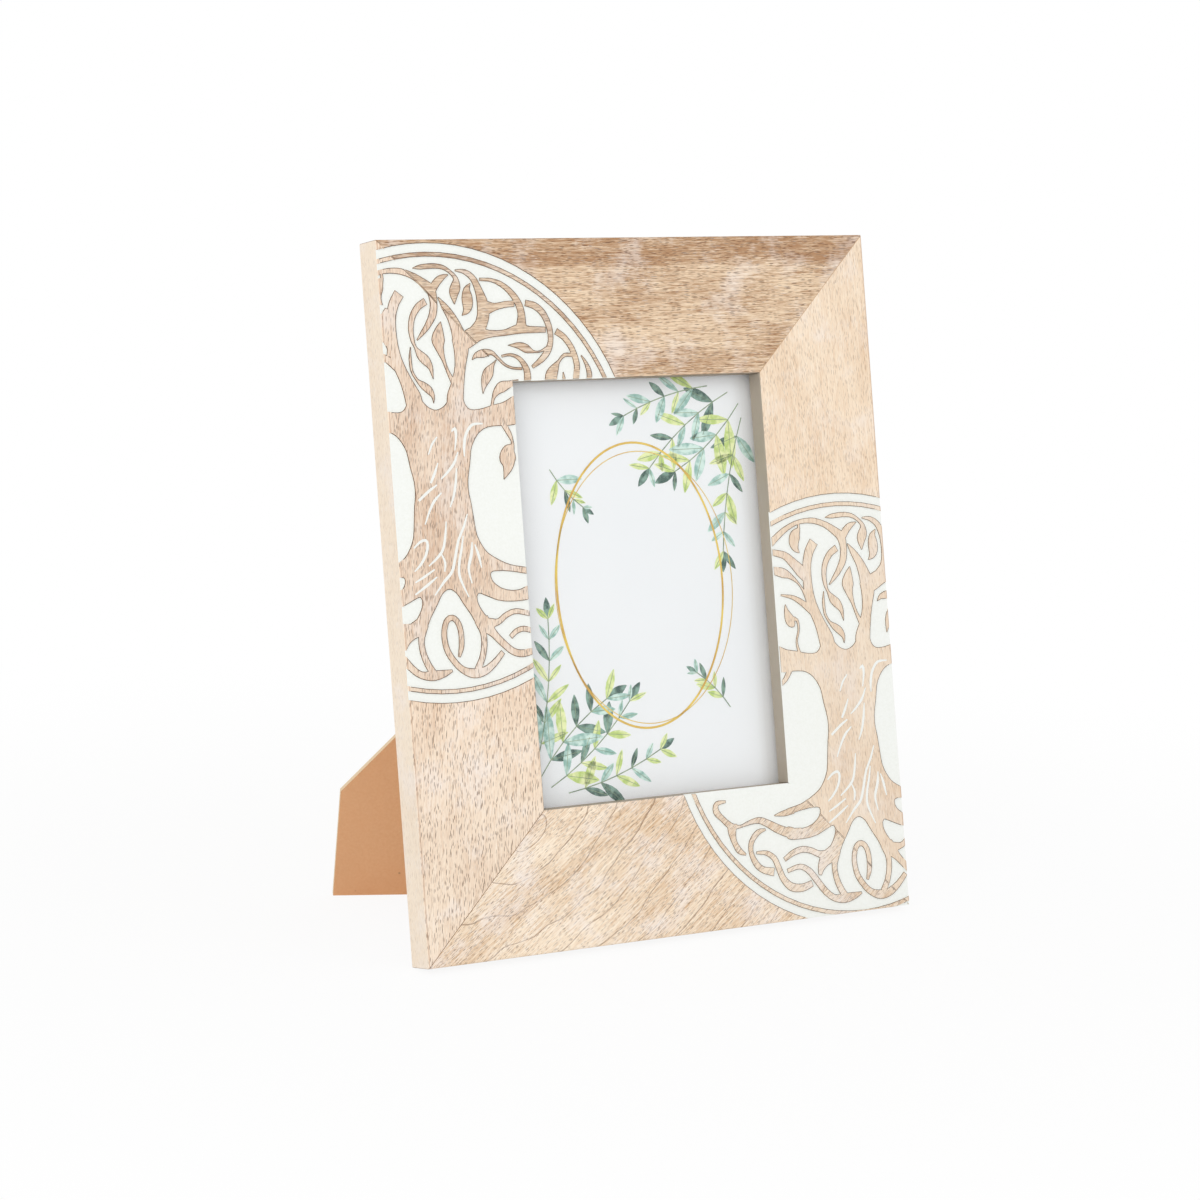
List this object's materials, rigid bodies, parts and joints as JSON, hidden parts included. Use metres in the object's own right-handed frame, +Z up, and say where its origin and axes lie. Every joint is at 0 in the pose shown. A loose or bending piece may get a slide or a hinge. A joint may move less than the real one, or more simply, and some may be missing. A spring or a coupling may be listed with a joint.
{
  "type": "picture frame",
  "caption": "Free-standing wooden picture frame with mitred whitewashed rails, two tree medallions carved and painted across its border, and a folding leg.",
  "frame": {"origin": "on the ground, under the middle of the standing object's bounding box", "axes": "+Z up, the frame's face looks along -Y and leans back 11.3 degrees, +X to the viewer's right"},
  "size_m": [0.236, 0.1304, 0.287],
  "materials": {
    "whitewashed_wood": "whitewashed, part painted",
    "clear_glass": "clear float glass",
    "printed_card": "printed, semi-matt",
    "brown_fibreboard": "bare fibreboard",
    "zinc_plated_steel": "zinc plated",
    "brass_plated_steel": "brass plated steel",
    "brass": "bright brass"
  },
  "bodies": {
    "frame": {"rail_top": "whitewashed_wood", "rail_bottom": "whitewashed_wood", "stile_left": "whitewashed_wood", "stile_right": "whitewashed_wood", "glass_pane": "clear_glass", "print_card": "printed_card", "backing_board": "brown_fibreboard", "hinge_board_leaf": "brass_plated_steel", "hinge_pin": "brass_plated_steel", "board_rivet_1": "brass", "board_rivet_2": "brass", "board_rivet_3": "brass", "corner_nail_1": "zinc_plated_steel", "corner_nail_2": "zinc_plated_steel", "corner_nail_3": "zinc_plated_steel", "corner_nail_4": "zinc_plated_steel", "corner_nail_5": "zinc_plated_steel", "corner_nail_6": "zinc_plated_steel", "corner_nail_7": "zinc_plated_steel", "corner_nail_8": "zinc_plated_steel", "button_bottom_screw": "brass", "button_top_screw": "brass", "button_left_low_screw": "brass", "button_left_high_screw": "brass", "button_right_low_screw": "brass", "button_right_high_screw": "brass"},
    "leg": {"easel_leg": "brown_fibreboard", "hinge_leg_leaf": "brass_plated_steel", "leg_rivet_1": "brass", "leg_rivet_2": "brass", "leg_rivet_3": "brass"},
    "button_bottom": {"button_bottom": "zinc_plated_steel"},
    "button_top": {"button_top": "zinc_plated_steel"},
    "button_left_low": {"button_left_low": "zinc_plated_steel"},
    "button_left_high": {"button_left_high": "zinc_plated_steel"},
    "button_right_low": {"button_right_low": "zinc_plated_steel"},
    "button_right_high": {"button_right_high": "zinc_plated_steel"}
  },
  "joints": [
    {"name": "leg_hinge", "type": "hinge", "parent": "frame", "child": "leg", "pos_m": [0.03, -0.02007, 0.14462], "axis": [0.7071, -0.1386, -0.6934], "range_deg": [-31, 0]},
    {"name": "button_bottom_turn", "type": "hinge", "parent": "frame", "child": "button_bottom", "pos_m": [0, -0.04104, 0.04684], "axis": [0, 0.9806, -0.1959], "continuous": true},
    {"name": "button_top_turn", "type": "hinge", "parent": "frame", "child": "button_top", "pos_m": [0, -0.00303, 0.23708], "axis": [0, 0.9806, -0.1959], "continuous": true},
    {"name": "button_left_low_turn", "type": "hinge", "parent": "frame", "child": "button_left_low", "pos_m": [-0.072, -0.03085, 0.09783], "axis": [0, 0.9806, -0.1959], "continuous": true},
    {"name": "button_left_high_turn", "type": "hinge", "parent": "frame", "child": "button_left_high", "pos_m": [-0.072, -0.01224, 0.19099], "axis": [0, 0.9806, -0.1959], "continuous": true},
    {"name": "button_right_low_turn", "type": "hinge", "parent": "frame", "child": "button_right_low", "pos_m": [0.072, -0.03085, 0.09783], "axis": [0, 0.9806, -0.1959], "continuous": true},
    {"name": "button_right_high_turn", "type": "hinge", "parent": "frame", "child": "button_right_high", "pos_m": [0.072, -0.01224, 0.19099], "axis": [0, 0.9806, -0.1959], "continuous": true}
  ]
}
